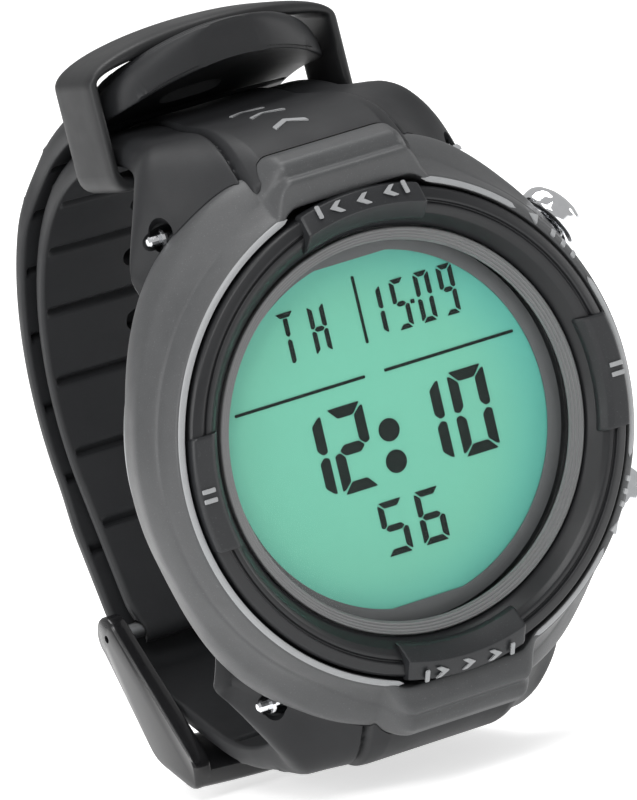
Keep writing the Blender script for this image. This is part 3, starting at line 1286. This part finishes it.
@dataclass
class StrapHalf:
    """Common work of both strap halves: the swept skin, slots and the fit against the case."""

    shop: Workshop
    loop: StrapLoop
    case: CaseShell
    rim: float = 2.3
    edge: float = 0.35
    flare: float = 6.2
    flare_length: float = 15.0
    swell: float = 4.2

    def across(self, half: float) -> np.ndarray:
        """Places across the strap, denser at the rims and at the two long grooves."""
        even = half * np.sin(np.linspace(-pi / 2, pi / 2, 45))
        scale = min(1.0, half / 7.5)
        extra = np.concatenate([side * np.linspace(5.3, 8.4, 25) * scale for side in (-1, 1)])
        return np.sort(np.concatenate([even, extra]))

    def section(self, route: Route, s: float, half: float, outer: Surface, inner: Surface) -> np.ndarray:
        """One closed loop of the skin at running length s."""
        spot, _, normal = route.at(s)
        x = self.across(half)
        bottom = -inner(s, x, half)
        top = np.maximum(outer(s, x, half), bottom + 0.5)
        q = np.clip((np.abs(x) - (half - self.rim)) / self.rim, 0, 1)
        round_off = np.power(np.maximum(1 - np.power(q, 2.3), 0), 1 / 2.3)
        e = np.clip((np.abs(x) - (half - self.edge)) / self.edge, 0, 1)
        top = bottom + self.edge + (top - bottom - self.edge) * round_off
        bottom = bottom + self.edge * (1 - np.sqrt(np.maximum(1 - e ** 2, 0)))
        xs = np.concatenate([x, x[-2:0:-1]])
        lift = np.concatenate([top, bottom[-2:0:-1]])
        return np.column_stack([xs, spot[0] + lift * normal[0], spot[1] + lift * normal[1]])

    def skin(self, name: str, route: Route, stations: np.ndarray, half: Callable[[float], float],
             outer: Surface, inner: Surface) -> bpy.types.Object:
        """The whole swept skin, closed at both ends."""
        rings = np.stack([self.section(route, s, half(s), outer, inner) for s in stations])
        return Shape.loft(name, rings, closed=False, caps=True)

    @staticmethod
    def with_grooves(stations: np.ndarray, grooves: Sequence[float]) -> np.ndarray:
        """Add close stations around each transverse groove."""
        near = [g + np.linspace(-0.75, 0.75, 11) for g in grooves]
        merged = np.unique(np.round(np.concatenate([stations, *near]), 3))
        merged = merged[(merged >= stations[0]) & (merged <= stations[-1])]
        keep = np.concatenate([[True], np.diff(merged) > 0.06])
        return merged[keep]

    @staticmethod
    def groove_depth(s: float, x: np.ndarray, half: float, grooves: Sequence[float]) -> np.ndarray:
        """Depth of the transverse grooves, which stop in a round end short of each rim."""
        depth = sum(np.exp(-(((s - g) / 0.33) ** 2)) for g in grooves)
        reach = smooth_step((half - 0.45 - np.abs(x)) / 0.35)
        return 0.7 * depth * reach

    def slot_tools(self, route: Route, places: Sequence[float], half_x: float, half_s: float):
        """Rounded cutters through the strap at several places, as one object."""
        tools = []
        for place in places:
            spot, along, normal = route.at(place)
            outline = []
            for a in np.linspace(0, 2 * pi, 36, endpoint=False):
                x, y = cos(a), sin(a)
                outline.append((np.sign(x) * abs(x) ** 0.62 * half_x, np.sign(y) * abs(y) ** 0.8 * half_s))
            tool = Shape.plate("slot", np.array(outline), -4, 4)
            basis = Matrix(((1, 0, 0, 0), (0, along[0], normal[0], spot[0]), (0, along[1], normal[1], spot[1]),
                            (0, 0, 0, 1)))
            tools.append(Shape.shift(tool, basis))
        return Shape.join("slots", tools)

    def end_half(self, away: float) -> float:
        """Half width at a distance from the case: flared, then the strap's own width."""
        return self.loop.half_width + self.flare * (1 - float(smooth_step((away + 1.5) / self.flare_length)))

    def end_outer(self, away: float, x: np.ndarray) -> np.ndarray:
        """Outward offset near the case: a raised panel, wings that fall away, and a bump at each hole."""
        reach = np.abs(x)
        near = 1 - float(smooth_step(away / 13.0))
        fall = 9.0 * np.clip((reach - 6.0) / 10.0, 0, 2) ** 1.3 * (1 - float(smooth_step((away + 0.5) / 9.0)))
        dive = 1.2 * max(0.0, -1.8 - away)
        line = 5.75 + 2.1 * (1 - float(smooth_step((away + 2) / 16.0)))
        shown = 1 - float(smooth_step((away - 22) / 8))
        panel = 0.3 * (1 - smooth_step((reach - line + 0.35) / 0.35)) * shown
        groove = 0.5 * np.exp(-(((reach - line) / 0.2) ** 2)) * shown
        bump = 0.75 * np.exp(-(((reach - 13.7) / 1.9) ** 2) - ((away - 1.2) / 2.3) ** 2)
        return self.loop.thick + self.swell * near - fall - dive + panel - groove + bump

    def fit_case(self, obj: bpy.types.Object, side: int) -> None:
        """Trim a strap end against the case and its lug, and open it for the strap bar."""
        Shape.combine(obj, self.case.envelope())
        Shape.combine(obj, Shape.revolve("back_room", np.array([(0, 5), (20.95, 5), (20.95, -4), (0, -4)]), 128))
        bore = Shape.revolve("bore", np.array([(0, 15.6), (0.78, 15.6), (0.78, 14.7), (1.15, 14.7),
                                               (1.15, -14.7), (0.78, -14.7), (0.78, -15.6), (0, -15.6)]), 32)
        lay = Matrix.Translation((0, side * 20.5, 4.2)) @ Matrix.Rotation(pi / 2, 4, "Y")
        Shape.combine(obj, Shape.shift(bore, lay))
        for hand in (1, -1):
            tool = Shape.revolve("access", np.array([(0, 9), (1.9, 9), (1.25, 2.6), (1.05, 0), (0, 0)]), 40)
            aim = Vector((hand * 0.52, side * 0.42, 0.74)).normalized()
            turn = Vector((0, 0, 1)).rotation_difference(aim).to_matrix().to_4x4()
            stretch = Matrix.Diagonal((1.0, 1.35, 1.0, 1.0))
            Shape.combine(obj, Shape.shift(tool, Matrix.Translation((hand * 13.9, side * 20.5, 4.2)) @ turn
                                           @ stretch))


@dataclass
class UpperStrap(StrapHalf):
    """The 12 o'clock half, which ends round the buckle pin."""

    def half(self, s: float) -> float:
        """Half width: flared at the case, rounded off at the pin."""
        end = self.loop.upper().length + 1.3
        wider = 0.2 * float(smooth_step((s - 22.0) / 8.0))
        return (self.end_half(s) + wider) * (1 - 0.06 * float(smooth_step((s - end + 4) / 4)))

    def outer(self, s: float, x: np.ndarray, half: float) -> np.ndarray:
        """Outward offset, shaped by the case end."""
        return self.end_outer(s, x)

    def inner(self, s: float, x: np.ndarray, half: float) -> np.ndarray:
        """Inward depth: crowned, grooved, and thick where it holds the bar."""
        near = 1 - float(smooth_step(s / 7.5))
        crown = 0.3 * (1 - (x / half) ** 2)
        return self.loop.thick - 0.4 + crown + 3.7 * near - self.groove_depth(s, x, half, self.grooves())

    def grooves(self) -> list[float]:
        """Running lengths of the transverse grooves."""
        return [23.5 + self.loop.pitch * k for k in range(7)]

    def build(self) -> None:
        """Build the upper half."""
        route = self.loop.upper()
        end = route.length + 1.3
        stations = self.with_grooves(np.concatenate([np.linspace(-7, 8, 46), np.linspace(8, end, 130)]),
                                     self.grooves())
        tip = end - np.array([0.0, 0.12, 0.35, 0.75, 1.3])
        stations = np.unique(np.concatenate([stations[stations < end - 1.4], tip]))

        def outer(s: float, x: np.ndarray, half: float) -> np.ndarray:
            return self.outer(s, x, half) * self.round_end(end - s)

        def inner(s: float, x: np.ndarray, half: float) -> np.ndarray:
            return self.inner(s, x, half) * self.round_end(end - s)

        obj = self.skin("upper_strap", route, stations, self.half, outer, inner)
        slots = [g + 3.1 for g in self.grooves()[:-1]]
        Shape.combine(obj, self.slot_tools(route, slots, 3.2, 1.25))
        self.fit_case(obj, 1)
        bore = Shape.revolve("bore", np.array([(0, 15), (0.9, 15), (0.9, -15), (0, -15)]), 32)
        pin = self.loop.pin()
        Shape.combine(obj, Shape.shift(bore, Matrix.Translation((0, *pin)) @ Matrix.Rotation(pi / 2, 4, "Y")))
        Shape.combine(obj, self.slot_tools(route, [route.length + 1.0], 1.75, 3.4))
        self.shop.piece(obj, "strap_rubber", Body.WATCH, ["strap_12"], 38)
        self.panel_marks(route)

    def panel_marks(self, route: Route) -> None:
        """Plain chevrons along the raised panel."""
        outline = np.array([(-1.6, -0.75), (0.0, 0.35), (1.6, -0.75), (1.6, -0.05), (0.0, 1.05), (-1.6, -0.05)])
        marks = []
        for s in (3.0, 6.2, 9.4):
            spot, along, normal = route.at(s)
            low, here, high = (float(self.end_outer(s + d, np.zeros(1))[0]) for d in (-0.5, 0.0, 0.5))
            slope = high - low
            tangent = (along + slope * normal) / sqrt(1 + slope * slope)
            up = (normal - slope * along) / sqrt(1 + slope * slope)
            base = spot + (here - 0.08) * normal
            basis = Matrix(((1, 0, 0, -1.0), (0, tangent[0], up[0], base[0]), (0, tangent[1], up[1], base[1]),
                            (0, 0, 0, 1)))
            marks.append(Shape.shift(Shape.plate("chevron", soften(outline, 0.1, 2), 0.0, 0.16, 0.03), basis))
        self.shop.piece(Shape.join("panel_chevrons", marks), "strip_paint", Body.WATCH)

    @staticmethod
    def round_end(rest: float) -> float:
        """Thickness share near a rounded end."""
        return max(0.12, sqrt(max(0.0, 1 - (1 - min(rest / 1.3, 1.0)) ** 2)))


@dataclass
class LowerStrap(StrapHalf):
    """The 6 o'clock half: case, buckle, and the long tail up to the keeper."""

    flare_length: float = 10.0
    swell: float = 3.8
    tip_lift: float = 2.9

    def half(self, s: float) -> float:
        """Half width: a round tip, then straight, then the flare at the case."""
        tip = sqrt(max(0.0, 1 - (1 - min(s + 0.3, 7.0) / 7.0) ** 2))
        wider = 0.6 * float(smooth_step((s - 22.0) / 8.0)) + 0.35 * float(smooth_step((s - 54.0) / 6.0))
        return (self.end_half(self.loop.lower().length - s) + wider) * tip

    def outer(self, s: float, x: np.ndarray, half: float) -> np.ndarray:
        """Outward offset, with a bead round the tip and the panel near the case."""
        return self.end_outer(self.loop.lower().length - s, x) + self.tip_bead(s, x) + self.lift(s, x)

    def lift(self, s: float, x: np.ndarray) -> np.ndarray:
        """How far the tip's middle stands up inside the keeper."""
        crown = np.clip(1 - (x / self.loop.half_width) ** 2, 0, 1)
        return self.tip_lift * crown * (1 - float(smooth_step(s / 16.0)))

    def tip_bead(self, s: float, x: np.ndarray) -> np.ndarray:
        """Two rounded beads that follow the tip's outline, on a slightly thicker end."""
        edge = self.tip_distance(s, x)
        swell = 0.75 * (1 - smooth_step((edge - 2.2) / 2.2))
        return swell - 0.42 * np.exp(-(((edge - 1.25) / 0.28) ** 2))

    def tip_distance(self, s: float, x: np.ndarray) -> np.ndarray:
        """Roughly how far a point lies inside the tip's outline."""
        reach = 7.0 * (1 - np.sqrt(np.clip(1 - (x / self.loop.half_width) ** 2, 0, 1)))
        return np.clip(s - reach, 0, 20)

    def inner(self, s: float, x: np.ndarray, half: float) -> np.ndarray:
        """Inward depth, with transverse grooves along the tail and by the case."""
        last = self.loop.lower().length
        near = float(smooth_step((s - last + 7.0) / 7.0))
        depth = self.loop.thick - 0.25 + 3.55 * near
        return depth - self.lift(s, x) - self.groove_depth(s, x, half, self.grooves())

    def grooves(self) -> list[float]:
        """Running lengths of the transverse grooves."""
        tail = [10.2 + self.loop.pitch * (k + 0.5) for k in range(8)]
        last = self.loop.lower().length
        return tail + [last - 10.2 - self.loop.pitch * k for k in range(2)]

    def build(self) -> None:
        """Build the lower half."""
        route = self.loop.lower()
        last = route.length
        stations = self.with_grooves(np.concatenate([np.linspace(0, 8, 34), np.linspace(8, last - 8, 200),
                                                     np.linspace(last - 8, last + 7, 46)]), self.grooves())
        bend = self.loop.turn_end() - np.linspace(0, self.loop.bend * radians(self.loop.bend_turn), 10)
        stations = np.unique(np.round(np.concatenate([stations, bend]), 3))
        stations = stations[np.concatenate([[True], np.diff(stations) > 0.05])]
        obj = self.skin("lower_strap", route, stations, self.half, self.outer, self.inner)
        slots = [10.2 + self.loop.pitch * k for k in range(8)]
        Shape.combine(obj, self.slot_tools(route, slots, 3.0, 1.25))
        Shape.combine(obj, self.slot_tools(route, [self.loop.turn_end() + 1.05], 1.75, 3.1))
        self.fit_case(obj, -1)
        self.shop.piece(obj, "strap_rubber", Body.WATCH, ["strap_6"], 38)


@dataclass
class Keeper:
    """The rubber loop that holds the strap's tail."""

    shop: Workshop
    loop: StrapLoop
    half_length: float = 3.75

    @staticmethod
    def outline(half: float, low: float, side: float, top: float, corner: float) -> np.ndarray:
        """A loop outline in x and radius: an arched top, straight legs and rounded corners."""
        arch = [(half * cos(a), side + (top - side) * sin(a) ** 0.9) for a in np.linspace(0.0, pi, 33)]
        outline = arch + [(-half, low), (half, low)]
        return soften(outline, corner, 7)

    def build(self) -> None:
        """Build the keeper."""
        outer = self.outline(12.35, 19.4, 28.9, 32.2, 1.9)
        inner = self.outline(11.3, 20.7, 29.05, 30.5, 1.1)
        rings = []
        turns = np.linspace(0, 2 * pi, 28, endpoint=False)
        for far, near in zip(outer, inner):
            middle, reach = (far + near) / 2, (far - near) / 2
            ring = []
            for a in turns:
                across = np.sign(cos(a)) * abs(cos(a)) ** 0.62
                along = np.sign(sin(a)) * abs(sin(a)) ** 0.34
                x, radius = middle + reach * across
                ring.append((x, radius, along * self.half_length))
            rings.append(ring)
        obj = Shape.loft("strap_keeper_loop", np.array(rings), closed=True)
        lay = Matrix(((1, 0, 0, 0), (0, 1, 0, self.loop.centre[0]), (0, 0, 1, self.loop.centre[1]),
                      (0, 0, 0, 1)))
        tilt = Matrix.Rotation(radians(-2), 4, "X")
        self.shop.piece(Shape.shift(obj, lay @ tilt), "keeper_rubber", Body.KEEPER, ["keeper"], 60)


@dataclass
class Buckle:
    """The glossy buckle frame, its pin and tongue."""

    shop: Workshop
    loop: StrapLoop
    arm_in: float = 12.3
    arm_out: float = 14.0
    bar_reach: float = 9.4
    bar_half: float = 3.5
    bar_thick: float = 1.3

    def bar_frame(self):
        """The crossbar's centre, its direction along the strap and its outward normal."""
        spot, along, normal = self.loop.lower().at(self.loop.turn_end() + self.bar_reach)
        return spot + (self.loop.thick + 0.4 + self.bar_thick) * normal, along, normal

    def bar(self) -> bpy.types.Object:
        """The crossbar: a rounded slab that bows outwards a little at its middle."""
        centre, along, normal = self.bar_frame()
        rings = []
        for x in np.linspace(-self.arm_out + 0.15, self.arm_out - 0.15, 57):
            bow = 0.75 * (1 - (x / self.arm_out) ** 2)
            end = min(1.0, 0.55 + (self.arm_out - 0.15 - abs(x)) / 1.2)
            ring = []
            for a in np.linspace(0, 2 * pi, 36, endpoint=False):
                u = np.sign(cos(a)) * abs(cos(a)) ** 0.45 * self.bar_half * min(1.0, end + 0.1)
                v = np.sign(sin(a)) * abs(sin(a)) ** 0.6 * self.bar_thick * end
                spot = centre + u * along + (v + bow) * normal
                ring.append((x, *spot))
            rings.append(ring)
        return Shape.loft("crossbar", np.array(rings), closed=False, caps=True)

    def arm(self, hand: int) -> bpy.types.Object:
        """One arm: a blade from the pin to the crossbar."""
        centre, along, normal = self.bar_frame()
        pin = self.loop.pin()
        towards = (centre - pin) / np.linalg.norm(centre - pin)
        left = np.array([-towards[1], towards[0]])
        eye = [pin + 1.95 * (cos(a) * -towards + sin(a) * left) for a in np.linspace(-1.7, 1.7, 19)]
        corners = [centre + a * self.bar_half * along + b * self.bar_thick * normal
                   for a, b in ((1, -1), (1, 1), (-1, 1))]
        order = eye + (corners if np.dot(corners[0] - pin, left) > 0 else corners[::-1])
        outline = soften(order, 1.3, 5)
        steps = ((0.0, 0.28), (0.1, 0.1), (0.3, 0.0), (1.4, 0.0), (1.6, 0.1), (1.7, 0.28))
        middle = outline.mean(axis=0)
        rings = []
        for depth, inset in steps:
            pull = outline + (middle - outline) / np.linalg.norm(outline - middle, axis=1)[:, None] * inset
            x = hand * (self.arm_in + depth)
            rings.append([(x, *p) for p in pull])
        return Shape.loft("arm", np.array(rings), closed=False, caps=True)

    def frame(self) -> None:
        """The buckle frame in one piece, bored for the pin."""
        obj = self.bar()
        for hand in (1, -1):
            Shape.combine(obj, self.arm(hand), "UNION")
        bore = Shape.revolve("bore", np.array([(0, 15), (0.35, 15), (0.35, 13.3), (0.78, 13.3), (0.78, -13.3),
                                               (0.35, -13.3), (0.35, -15), (0, -15)]), 32)
        lay = Matrix.Translation((0, *self.loop.pin())) @ Matrix.Rotation(pi / 2, 4, "Y")
        Shape.combine(obj, Shape.shift(bore, lay))
        self.shop.piece(obj, "buckle_gloss", Body.BUCKLE, ["buckle_frame"], 35)

    def pin(self) -> None:
        """The buckle pin, with domed ends."""
        outline = soften([(0.0001, 13.1), (0.45, 13.06), (0.7, 12.8), (0.7, -12.8), (0.45, -13.06),
                          (0.0001, -13.1)], 0.1, 2, closed=False)
        lay = Matrix.Translation((0, *self.loop.pin())) @ Matrix.Rotation(pi / 2, 4, "Y")
        obj = Shape.shift(Shape.revolve("buckle_axle", outline, 48), lay)
        self.shop.piece(obj, "plain_steel", Body.BUCKLE, ["buckle_pin"], 35)

    def tongue(self) -> None:
        """The tongue: a loop on the pin, a straight shank and a bend over the crossbar."""
        centre, along, normal = self.bar_frame()
        pin = self.loop.pin()
        corner = centre - self.bar_half * along + self.bar_thick * normal
        knee = corner + 0.9 * normal - 0.5 * along
        tip = knee + 5.5 * along
        start = pin + (knee - pin) / np.linalg.norm(knee - pin) * 1.1
        line = [start + (knee - start) * t for t in np.linspace(0, 0.86, 14)]
        bend = [(1 - t) ** 2 * line[-1] + 2 * t * (1 - t) * knee + t * t * (knee + 0.16 * (tip - knee))
                for t in np.linspace(0.1, 1, 8)]
        tail = [knee + (tip - knee) * t for t in np.linspace(0.24, 1, 12)]
        path = np.array(line + bend + tail)
        headings = np.gradient(path, axis=0)
        headings /= np.linalg.norm(headings, axis=1)[:, None]
        rings = []
        for k, (spot, way) in enumerate(zip(path, headings)):
            side = np.array([-way[1], way[0]])
            rest = np.linalg.norm(path[-1] - spot)
            taper = sqrt(max(0.05, 1 - (1 - min(rest / 1.3, 1.0)) ** 2))
            ring = []
            for a in np.linspace(0, 2 * pi, 24, endpoint=False):
                x = np.sign(cos(a)) * abs(cos(a)) ** 0.6 * 1.3 * taper
                lift = np.sign(sin(a)) * abs(sin(a)) ** 0.6 * 0.58 * (0.55 + 0.45 * taper)
                ring.append((x, *(spot + lift * side)))
            rings.append(ring)
        obj = Shape.loft("tongue_blade", np.array(rings), closed=False, caps=True)
        loop = Shape.revolve("loop", soften([(1.45, 1.3), (1.45, -1.3), (0.9, -1.3), (0.9, 1.3)], 0.12, 3), 48)
        lay = Matrix.Translation((0, *pin)) @ Matrix.Rotation(pi / 2, 4, "Y")
        Shape.combine(obj, Shape.shift(loop, lay), "UNION")
        self.shop.piece(obj, "plain_steel", Body.TONGUE, ["buckle_tongue"], 35)

    def build(self) -> None:
        """Build the buckle."""
        self.frame()
        self.pin()
        self.tongue()


# ------------------------------------------------------------------ CAD nodes that stay

KEPT = {
    "lens_gasket": "seal_rubber", "backlight": "diffuser_white", "display_holder": "diffuser_white",
    "contact_strip_upper": "seal_rubber", "contact_strip_lower": "seal_rubber",
    "circuit_board": "board_green", "processor": "chip_black", "quartz_crystal": "plain_steel",
    "pressure_sensor": "turned_steel", "buzzer": "gilt", "battery": "turned_steel",
    "battery_contact_plus": "gilt", "battery_contact_minus": "gilt", "case_back_gasket": "seal_rubber",
    "battery_cover_gasket": "seal_rubber", "select_seal": "seal_rubber", "escape_seal": "seal_rubber",
    "select_clip": "plain_steel", "escape_clip": "plain_steel", "bar_tip_12_right": "polished_chrome",
    "bar_tip_12_left": "polished_chrome", "bar_tip_6_right": "polished_chrome",
    "bar_tip_6_left": "polished_chrome",
}


# ------------------------------------------------------------------ studio

@dataclass
class Studio:
    """Pale floor, soft lights and the camera."""

    right: Vector = field(default_factory=lambda: Vector((0.8642, -0.4496, -0.2259)))
    up: Vector = field(default_factory=lambda: Vector((0.2692, 0.0338, 0.9625)))
    back: Vector = field(default_factory=lambda: Vector((-0.4251, -0.8926, 0.1502)))
    distance: float = 0.9
    scale: float = 11800.0
    aim: Vector = field(default_factory=lambda: Vector((0.0, -0.0126, 0.0)))
    offset: Point2 = (-0.00728, 0.00261)

    def camera(self) -> None:
        """A long lens at the product's front left."""
        data = bpy.data.cameras.new("view")
        data.sensor_width = 36.0
        data.lens = self.scale * self.distance / 800 * 36
        data.clip_start, data.clip_end = 0.05, 20.0
        obj = bpy.data.objects.new("view", data)
        basis = Matrix((self.right, self.up, self.back)).transposed().to_4x4()
        place = self.aim + self.offset[0] * self.right + self.offset[1] * self.up + self.distance * self.back
        obj.matrix_world = Matrix.Translation(place) @ basis
        bpy.context.scene.collection.objects.link(obj)
        bpy.context.scene.camera = obj

    def light(self, name: str, place: Sequence[float], size: Point2, power: float) -> None:
        """A soft area light that faces the watch."""
        data = bpy.data.lights.new(name, "AREA")
        data.shape = "RECTANGLE"
        data.size, data.size_y = size
        data.energy = power
        obj = bpy.data.objects.new(name, data)
        obj.location = place
        obj.rotation_euler = (Vector((0, 0, 0)) - Vector(place)).to_track_quat("-Z", "Y").to_euler()
        bpy.context.scene.collection.objects.link(obj)

    def world(self) -> None:
        """An even pale surround."""
        world = bpy.data.worlds.new("surround")
        world.use_nodes = True
        shade = world.node_tree.nodes["Background"]
        shade.inputs["Color"].default_value = (1.0, 1.0, 1.0, 1.0)
        shade.inputs["Strength"].default_value = 0.5
        bpy.context.scene.world = world

    def floor(self) -> None:
        """A plain pale floor below the watch."""
        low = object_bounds()[0][2] - 0.0005
        corners = [(-4, -4, low), (4, -4, low), (4, 4, low), (-4, 4, low)]
        mesh = bpy.data.meshes.new("floor")
        mesh.from_pydata(corners, [], [(0, 1, 2, 3)])
        material = bpy.data.materials.new("floor_pale")
        material.use_nodes = True
        shader = material.node_tree.nodes["Principled BSDF"]
        shader.inputs["Base Color"].default_value = (0.8, 0.8, 0.8, 1)
        shader.inputs["Roughness"].default_value = 0.9
        shader.inputs["Emission Color"].default_value = (1.0, 1.0, 1.0, 1.0)
        shader.inputs["Emission Strength"].default_value = 0.62
        mesh.materials.append(material)
        obj = bpy.data.objects.new("floor", mesh)
        bpy.context.scene.collection.objects.link(obj)
        obj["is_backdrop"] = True

    def build(self) -> None:
        """Set up the studio."""
        bpy.context.scene.view_settings.view_transform = "Standard"
        self.camera()
        self.world()
        self.floor()
        self.light("key", (-0.30, -0.45, 0.55), (0.5, 0.35), 3.2)
        self.light("left_edge", (-0.60, -0.05, 0.12), (0.25, 0.6), 2.2)
        self.light("top", (0.05, 0.10, 0.65), (0.5, 0.4), 3.0)
        self.light("right_edge", (0.55, -0.15, -0.05), (0.2, 0.5), 1.2)


# ------------------------------------------------------------------ the whole watch

def main() -> None:
    """Build the watch round its frame."""
    logging.basicConfig(level=logging.INFO, format="%(name)s: %(message)s")
    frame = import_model()
    palette = Palette()
    shop = Workshop(palette)
    repeats = Repeats()
    loop = StrapLoop()
    case = CaseShell(shop)
    parts = [
        case, Bezel(shop), Display(shop), BackPlate(shop, repeats),
        PushButton(shop, repeats, "select", 30.0, Body.SELECT),
        PushButton(shop, repeats, "escape", -30.0, Body.ESCAPE),
        StrapBar(shop, "12", 1), StrapBar(shop, "6", -1),
        UpperStrap(shop, loop, case), LowerStrap(shop, loop, case), Keeper(shop, loop), Buckle(shop, loop),
    ]
    for part in parts:
        part.build()
    for node, finish in KEPT.items():
        palette.dress(frame["nodes"][node], finish)
    Studio().build()


if __name__ == "__main__":
    main()
